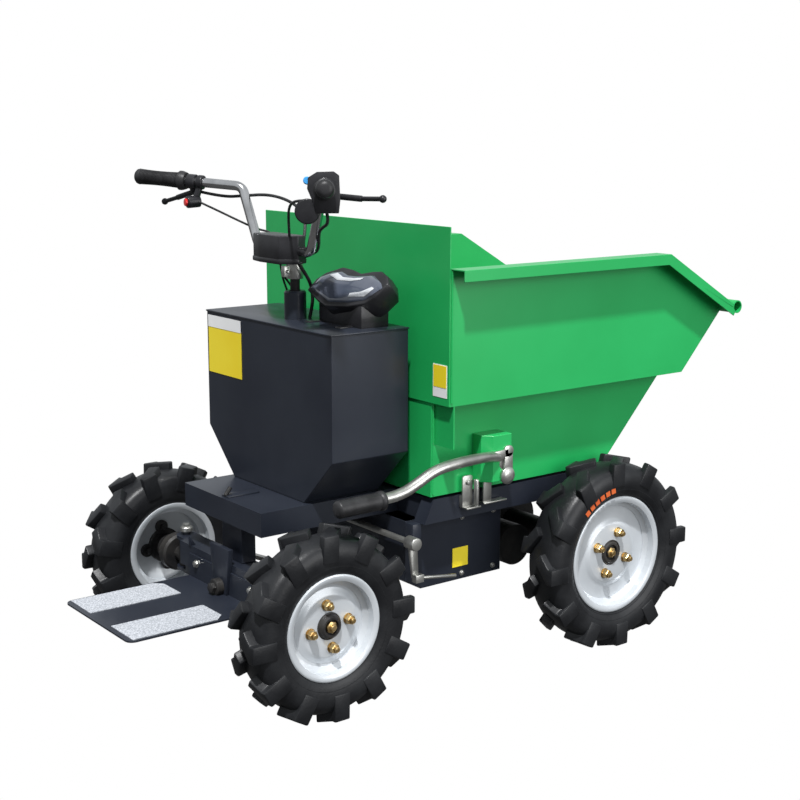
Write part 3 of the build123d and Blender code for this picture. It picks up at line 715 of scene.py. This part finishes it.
columnShape = bmesh.new()
collaredTube(columnShape, columnSettings["foot"], columnSettings["length"], columnSettings["outer"],
             columnSettings["inner"], (4, 3), 48)
piece(columnShape, "column_sleeve", "frame_paint", "root", "column_tube")
clamp = bmesh.new()
collaredTube(clamp, columnSettings["clampFoot"], columnSettings["clampLength"], columnSettings["clampOuter"],
             columnSettings["clampInner"], (2, 2), 40)
block(clamp, *boxSettings["clampEar"])
rod(clamp, *columnSettings["clampBolt"], columnSettings["clampBoltRadius"])
piece(clamp, "stem_clamp", "zinc_plate", "bars", bevel=0.8)
blockPiece("belly_plate_blank", boxSettings["bellyPlate"], "yellow_film", "root")

# the display: outlines are (right, up) on its face, and layers are (share of the outline, out from the face)
podSettings = {
    "origin": (-238, -138, 872),
    "right": (0.173, -0.983, 0.060),
    "out": (-0.739, -0.090, 0.667),
    "hood": [(-108, 0), (-98, 30), (-78, 48), (-34, 64), (0, 58), (34, 47), (66, 53), (92, 54),
             (118, 40), (130, 20), (112, -14), (92, -33), (44, -43), (-24, -43), (-62, -26)],
    "hoodLayers": [(0.74, -70), (0.9, -62), (0.98, -42), (1.01, -16), (1.0, -2), (0.97, 1)],
    "lens": [(-97, 2), (-86, 34), (-54, 47), (-24, 50), (2, 39), (38, 37), (80, 40), (112, 20),
             (122, 8), (88, -25), (44, -33), (-18, -33), (-56, -16)],
    "lensLayers": [(0.99, -2), (0.99, 2.0), (0.93, 5.5), (0.8, 7.0)],
    "bezels": [[(-52, 36), (-30, 42), (-6, 30), (30, 28), (58, 30), (50, 24), (20, 20), (-20, 22)],
               [(40, -22), (86, -20), (104, 2), (96, 6), (70, -8), (40, -12)]],
    "bezelLayers": [(1, 6.0), (1, 8.2)],
    "bracket": ((-246, -224, 795), (-172, -62, 846)),
    "feet": (-184, -66),     # middles in y
    "foot": {"half": 10, "x": (-280, -232), "z": (795, 800)},
}


def podPoint(u, v, w):
    right = Vector(podSettings["right"]).normalized()
    out = Vector(podSettings["out"]).normalized()
    up = out.cross(right)
    return (Vector(podSettings["origin"]) + right * u + up * v + out * w) * mm


def podLayers(shape, outline, layers):
    joinRings(shape, [[shape.verts.new(podPoint(u * grow, v * grow, w)) for u, v in outline]
                      for grow, w in layers])


hood = bmesh.new()
podLayers(hood, podSettings["hood"], podSettings["hoodLayers"])
block(hood, *podSettings["bracket"])
for y in podSettings["feet"]:
    blockAbout(hood, podSettings["foot"], y)
piece(hood, "display_hood", "black_plastic", "root", "display_pod", bevel=2.0)
lens = bmesh.new()
podLayers(lens, podSettings["lens"], podSettings["lensLayers"])
piece(lens, "display_lens", "lens_glass", "root", crease=50)
bezel = bmesh.new()
for outline in podSettings["bezels"]:
    podLayers(bezel, outline, podSettings["bezelLayers"])
piece(bezel, "display_bezel", "grey_bezel", "root", bevel=0.6)
print("box and display ready")

# skip: blank plates, gussets, welds, latch and tipping handle
skipSettings = {
    "warningPlate": ((-116.8, -358, 650), (-115.6, -310, 722)),
    "warningField": ((-117.4, -356, 672), (-116.6, -312, 720)),
    "rearGusset": {"out": 332.5, "half": 32.5, "x": (-103, -100), "z": (537, 632)},
    "earGusset": [(390, 384), (372, 418), (408, 418)],       # x and z
    "earFaces": (254, 262),
    "upperWeld": (-110, 366, 640, 926),                      # x, out, foot and top
    "lowerWeld": (-108, 301, 424, 628),
    "weldRadius": 2.2,
}
blockPiece("warning_plate_blank", skipSettings["warningPlate"], "white_film", "skip")
blockPiece("warning_field_blank", skipSettings["warningField"], "yellow_film", "skip")
rearGusset = skipSettings["rearGusset"]
innerFace, outerFace = skipSettings["earFaces"]
gussets = bmesh.new()
for side in (-1, 1):
    blockAbout(gussets, rearGusset, side * rearGusset["out"])
    prism(gussets, skipSettings["earGusset"], side * innerFace, side * outerFace, "y")
piece(gussets, "skip_gussets", "skip_paint", "skip")
welds = bmesh.new()
for side in (-1, 1):
    for x, out, foot, top in (skipSettings["upperWeld"], skipSettings["lowerWeld"]):
        rod(welds, (x, side * out, foot), (x, side * out, top), skipSettings["weldRadius"], 10)
piece(welds, "skip_welds", "skip_paint", "skip")

# the latch on the skip's right side: outlines are x and z, profiles are out to the right and radius
latchSettings = {
    "boss": (66, 0, 452),
    "bossProfile": [(350, 0), (350, 20), (356, 20), (360, 15), (362, 8), (362, 0)],
    "pin": (68, 0, 508),
    "pinProfile": [(350, 0), (350, 14), (355, 14), (356, 12), (356, 0)],
    "lever": [(57, 505), (79, 505), (80, 455), (52, 455)],
    "arm": [(24, 512), (66, 514), (66, 496), (24, 494)],
    "leverFaces": (-356, -350),
    "hook": [(24, 478), (24, 384), (48, 384), (48, 478)],
    "hookFaces": (-320, -315),
    "hookFoot": ((24, -324, 384), (92, -304, 388)),
    "hookPin": ((58, -304, 480), (58, -350, 480)),
    "hookPinRadius": 16,
}
latch = bmesh.new()
turned(latch, latchSettings["bossProfile"], latchSettings["boss"], (0, -1, 0), 32)
turned(latch, latchSettings["pinProfile"], latchSettings["pin"], (0, -1, 0), 32)
prism(latch, latchSettings["lever"], *latchSettings["leverFaces"], "y")
prism(latch, latchSettings["arm"], *latchSettings["leverFaces"], "y")
piece(latch, "latch_lever", "zinc_plate", "skip", "latch_plate", bevel=1.0)
hook = bmesh.new()
prism(hook, latchSettings["hook"], *latchSettings["hookFaces"], "y")
rod(hook, *latchSettings["hookPin"], latchSettings["hookPinRadius"])
block(hook, *latchSettings["hookFoot"])
piece(hook, "latch_hook", "zinc_plate", "skip", bevel=0.8)

handleSettings = {
    "radius": 12,
    "route": [(56, -340, 494), (20, -352, 502), (-30, -370, 509), (-110, -385, 512), (-170, -385, 505),
              (-215, -385, 484), (-260, -385, 466), (-330, -385, 463), (-418, -385, 460.5)],
    "sleeveEnd": (-425, -385, 460.3),
    "sleeveAlong": (1, 0, 0.012),
    "sleeveRadius": 19,
    "ribs": 34,
    "ribPitch": 3,
    "ribDepth": 1.3,
}
tube("bent_handle", handleSettings["route"], handleSettings["radius"], "zinc_plate", "skip", "tip_handle")
radius = handleSettings["sleeveRadius"]
ribs = [(6 + step * handleSettings["ribPitch"], radius - (step % 2) * handleSettings["ribDepth"])
        for step in range(handleSettings["ribs"])]
sleeve = bmesh.new()
turned(sleeve, [(-1, 0), (-1, 12), (2, 17), (6, radius)] + ribs
       + [(108, radius + 2), (116, radius + 2), (118, radius), (118, 12.2)],
       handleSettings["sleeveEnd"], handleSettings["sleeveAlong"], 40)
piece(sleeve, "ribbed_sleeve", "grip_rubber", "skip", "tip_handle_grip", crease=50)
print("skip ready")

# brake lever beside the belly box and the catch on the rail; outlines are x and z
brakeSettings = {
    "shaftX": -160,
    "shaftZ": 320,
    "shaftRods": [(-280, -312, 15), (300, 280, 12), (-290, 290, 7)],      # from y, to y, radius
    "lever": [(-172, 322), (-166, 334), (-154, 334), (-148, 322), (-144, 240), (-148, 230), (-156, 230),
              (-160, 240)],
    "leverFaces": (-298, -292),
    "clevis": ((-160, -310, 230), (-138, -294, 248)),
    "link": ((-150, -302, 240), (-40, -302, 224)),
    "linkRadius": 4,
}
catchSettings = {
    "foot": ((-31, -308, 383), (3, -300, 409)),
    "upright": [(-31, 381), (-1, 381), (-1, 452), (-6, 456), (-26, 456), (-31, 452)],
    "uprightFaces": (-312, -308),
    "shelf": ((-31, -328, 381), (11, -304, 385)),
    "pins": [((3, -320, 383), (3, -320, 446)), ((-16, -312, 440), (-16, -318, 440))],
    "pinRadius": 6,
}
brakes = bmesh.new()
prism(brakes, brakeSettings["lever"], *brakeSettings["leverFaces"], "y")
shaftX, shaftZ = brakeSettings["shaftX"], brakeSettings["shaftZ"]
for start, stop, radius in brakeSettings["shaftRods"]:
    rod(brakes, (shaftX, start, shaftZ), (shaftX, stop, shaftZ), radius)
rod(brakes, *brakeSettings["link"], brakeSettings["linkRadius"])
block(brakes, *brakeSettings["clevis"])
piece(brakes, "brake_lever_set", "zinc_plate", "root", "brake_linkage", bevel=0.8)
catch = bmesh.new()
block(catch, *catchSettings["foot"])
prism(catch, catchSettings["upright"], *catchSettings["uprightFaces"], "y")
block(catch, *catchSettings["shelf"])
for start, stop in catchSettings["pins"]:
    rod(catch, start, stop, catchSettings["pinRadius"])
piece(catch, "catch_plate", "zinc_plate", "root", "latch_catch", bevel=0.8)
print("brake and catch ready")

# handlebar: 1 is the left side and -1 the right, and each side's direction runs from its end inwards
barSettings = {
    "endX": -451, "endOut": 391, "endZ": 1107,
    "bendX": -302, "bendOut": 165, "bendZ": 1088,
    "radius": 11,
}
barEnds = {side: Vector((barSettings["endX"], side * barSettings["endOut"], barSettings["endZ"]))
           for side in (1, -1)}
barBends = {side: Vector((barSettings["bendX"], side * barSettings["bendOut"], barSettings["bendZ"]))
            for side in (1, -1)}
barDirections = {side: (barBends[side] - barEnds[side]).normalized() for side in (1, -1)}

gripSettings = {"length": 128, "radius": 18.5, "ribs": 27, "ribsFrom": 10, "ribPitch": 3.6, "ribDepth": 1.2,
                "crestTo": 1.9, "grooveFrom": 2.2, "grooveTo": 3.3, "ribbed": 110, "waist": 1.6, "collar": 4}
gripsShape = bmesh.new()
for side, end in barEnds.items():
    length, radius, ribbed = gripSettings["length"], gripSettings["radius"], gripSettings["ribbed"]
    collar, depth = gripSettings["collar"], gripSettings["ribDepth"]
    crestTo, grooveFrom, grooveTo = [gripSettings[part] for part in ("crestTo", "grooveFrom", "grooveTo")]
    ribs = []
    for step in range(gripSettings["ribs"]):
        at = gripSettings["ribsFrom"] + step * gripSettings["ribPitch"]
        crest = radius - gripSettings["waist"] * math.sin(math.pi * at / ribbed)
        ribs += [(at, crest), (at + crestTo, crest), (at + grooveFrom, crest - depth),
                 (at + grooveTo, crest - depth)]
    turned(gripsShape, [(-5, 0), (-5, 8), (-3, 13), (1, 17), (6, radius)] + ribs
           + [(ribbed, radius), (ribbed + 2, radius + collar), (ribbed + 8, radius + collar),
              (length, radius + 1), (length, barSettings["radius"])],
           end, barDirections[side], 40)
piece(gripsShape, "ribbed_grips", "grip_rubber", "bars", "grips", crease=50)

# brake levers: how far in each perch sits, and the blade's root, bend and tip
leverSettings = {
    1: {"perch": 132, "blade": [(-366, 276, 1073), (-379, 332, 1058), (-391, 374, 1047)]},
    -1: {"perch": 170, "blade": [(-334, -252, 1084), (-306, -310, 1080), (-298, -372, 1082)]},
    "perchLength": 22,
    "perchRadius": 17,
    "bladeRadii": (9, 6.5, 5),
    "tipRadius": 8,
    "tipSteps": 10,
}
leversShape = bmesh.new()
for side, end in barEnds.items():
    direction = barDirections[side]
    perch = end + direction * leverSettings[side]["perch"]
    rod(leversShape, perch, perch + direction * leverSettings["perchLength"], leverSettings["perchRadius"])
    joint = perch + direction * (leverSettings["perchLength"] / 2)
    root, bend, tip = [Vector(point) for point in leverSettings[side]["blade"]]
    for start, stop, radius in zip((joint, root, bend), (root, bend, tip), leverSettings["bladeRadii"]):
        rod(leversShape, start, stop + (stop - start).normalized() * 2, radius, 16)
    angles = [math.pi * step / leverSettings["tipSteps"] for step in range(leverSettings["tipSteps"] + 1)]
    ball = leverSettings["tipRadius"]
    turned(leversShape, [(ball * math.cos(angle), ball * math.sin(angle)) for angle in angles],
           tip, tip - bend, 20)
piece(leversShape, "lever_blades", "black_plastic", "bars", "brake_levers")

# switch gear on both sides; on the right it is laid out from the bar's line: up, across and inwards
gearSettings = {
    "rightStart": 132,       # in from the bar's end
    "leftStart": 158,
    "outline": [(37, -14), (38, 20), (30, 31), (-20, 33), (-46, 30), (-46, -16), (-20, -24), (4, -34),
                (26, -32)],
    "depth": 34,
    "lamp": (-42, -34, 0),
    "lampProfile": [(2, 0), (2, 24), (5, 26), (30, 26), (33, 23), (33, 0)],
    "dial": (6, 2, 0),
    "dialProfile": [(-8, 0), (-8, 18), (-6, 20), (3, 20), (3, 0)],
    "modeButton": (20, -34, 14),
    "modeButtonEnds": (-12, 10),
    "leftBand": (15, 16.5),  # length and radius
    "stalkFrom": 7,
    "stalkEnd": (-372, 258, 1056),
    "stalkRadius": 8,
    "leftBody": ((-362, 258, 1052), (-394, 262, 1050)),
    "leftRadius": 14,
    "stopButton": ((-393, 262, 1050), (-399, 263, 1050)),
    "buttonRadii": (9, 8),   # stop, mode
}
inwards = barDirections[-1]
gearStart = barEnds[-1] + inwards * gearSettings["rightStart"]
upright = (Vector((0, 0, 1)) - inwards * inwards.z).normalized()
across = inwards.cross(upright)


def gearPoint(u, v, w):
    return gearStart + upright * u + across * v + inwards * w


housing = bmesh.new()
joinRings(housing, [[housing.verts.new(gearPoint(u, v, w) * mm) for u, v in gearSettings["outline"]]
                    for w in (0, gearSettings["depth"])])
turned(housing, gearSettings["lampProfile"], gearPoint(*gearSettings["lamp"]), inwards, 32)
turned(housing, gearSettings["dialProfile"], gearPoint(*gearSettings["dial"]), inwards, 32)
leftGear = barEnds[1] + barDirections[1] * gearSettings["leftStart"]
bandLength, bandRadius = gearSettings["leftBand"]
rod(housing, leftGear, leftGear + barDirections[1] * bandLength, bandRadius)
rod(housing, leftGear + barDirections[1] * gearSettings["stalkFrom"], gearSettings["stalkEnd"],
    gearSettings["stalkRadius"])
rod(housing, *gearSettings["leftBody"], gearSettings["leftRadius"])
piece(housing, "switch_housings", "black_plastic", "bars", "bar_controls", bevel=1.5)
stopRadius, modeRadius = gearSettings["buttonRadii"]
redButton = bmesh.new()
rod(redButton, *gearSettings["stopButton"], stopRadius)
piece(redButton, "stop_button", "red_button", "bars")
blueButton = bmesh.new()
spot = gearPoint(*gearSettings["modeButton"])
rod(blueButton, *[spot + inwards * end for end in gearSettings["modeButtonEnds"]], modeRadius)
piece(blueButton, "mode_button", "blue_button", "bars")

# cover: one outline of x and y, and a wider band round its foot
coverSettings = {
    "outline": [(-342, 30), (-342, -50), (-304, -70), (-278, -60), (-278, 70), (-334, 70)],
    "levels": (929, 989),
    "bandLevels": (927, 939),
    "middleX": -310,
    "bandGrow": (0.05, 1.03),
}
growX, growY = coverSettings["bandGrow"]
band = [(x + (x - coverSettings["middleX"]) * growX, y * growY) for x, y in coverSettings["outline"]]
cover = bmesh.new()
prism(cover, coverSettings["outline"], *coverSettings["levels"], "z")
prism(cover, band, *coverSettings["bandLevels"], "z")
piece(cover, "bar_cover_shell", "black_plastic", "bars", "handlebar_cover", bevel=3.0)

# the bar's left half from its end to the middle, which the right half mirrors
halfBar = [tuple(barEnds[1]), (-396, 307.6, 1100), (-322, 195.3, 1090.5), tuple(barBends[1]),
           (-300.6, 151.5, 1057), (-297.4, 120.5, 986), (-296, 107, 955), (-296, 76, 955), (-296, 0, 955)]
tube("chrome_bar", halfBar + [(x, -y, z) for x, y, z in reversed(halfBar[:-1])], barSettings["radius"],
     "bar_chrome", "bars", "handlebar")

# cables: each row is a radius and a route
barRoutes = [
    (2.5, [(-386, 258, 1060), (-340, 226, 1034), (-300, 198, 1010), (-264, 164, 988), (-256, 112, 984),
           (-276, 66, 974)]),
    (3.5, [(-366, 270, 1076), (-326, 216, 1062), (-290, 172, 1066), (-272, 112, 1071), (-264, 52, 1065),
           (-262, -4, 1050), (-263, -44, 1024), (-280, -56, 980)]),
    (3.0, [(-395, -246, 1076), (-386, -182, 1074), (-358, -118, 1056), (-330, -72, 1026), (-318, -57, 985)]),
    (3.5, [(-372, -276, 1062), (-340, -246, 1030), (-328, -195, 1014), (-310, -159, 1000), (-276, -110, 968),
           (-268, -84, 950), (-280, -52, 940)]),
]
for number, (radius, points) in enumerate(barRoutes):
    tube("bar_cable_%d" % number, points, radius, "grip_rubber", "bars")

# these run from the cover down into the box, and are baked into fixed meshes that ride on no body
columnRoutes = [
    (2.5, [(-286, 34, 930), (-274, 46, 893), (-262, 47, 862), (-252, 39, 828), (-249, 31, 797)]),
    (2.5, [(-294, 20, 930), (-286, 31, 900), (-264, 35, 878), (-246, 28, 848), (-243, 24, 820),
           (-240, 22, 797)]),
    (4.0, [(-286, -38, 930), (-264, -36, 902), (-242, -25, 876), (-232, -18, 845), (-232, -13, 820),
           (-236, -10, 797)]),
]
for number, (radius, points) in enumerate(columnRoutes):
    curveObj = tube("column_cable_source_%d" % number, points, radius, "grip_rubber", None)
    graph = bpy.context.evaluated_depsgraph_get()
    mesh = bpy.data.meshes.new_from_object(curveObj.evaluated_get(graph))
    cable = bpy.data.objects.new("column_cable_%d" % number, mesh)
    bpy.context.collection.objects.link(cable)
    bpy.data.objects.remove(curveObj)
    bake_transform(cable)
print("handlebar ready")
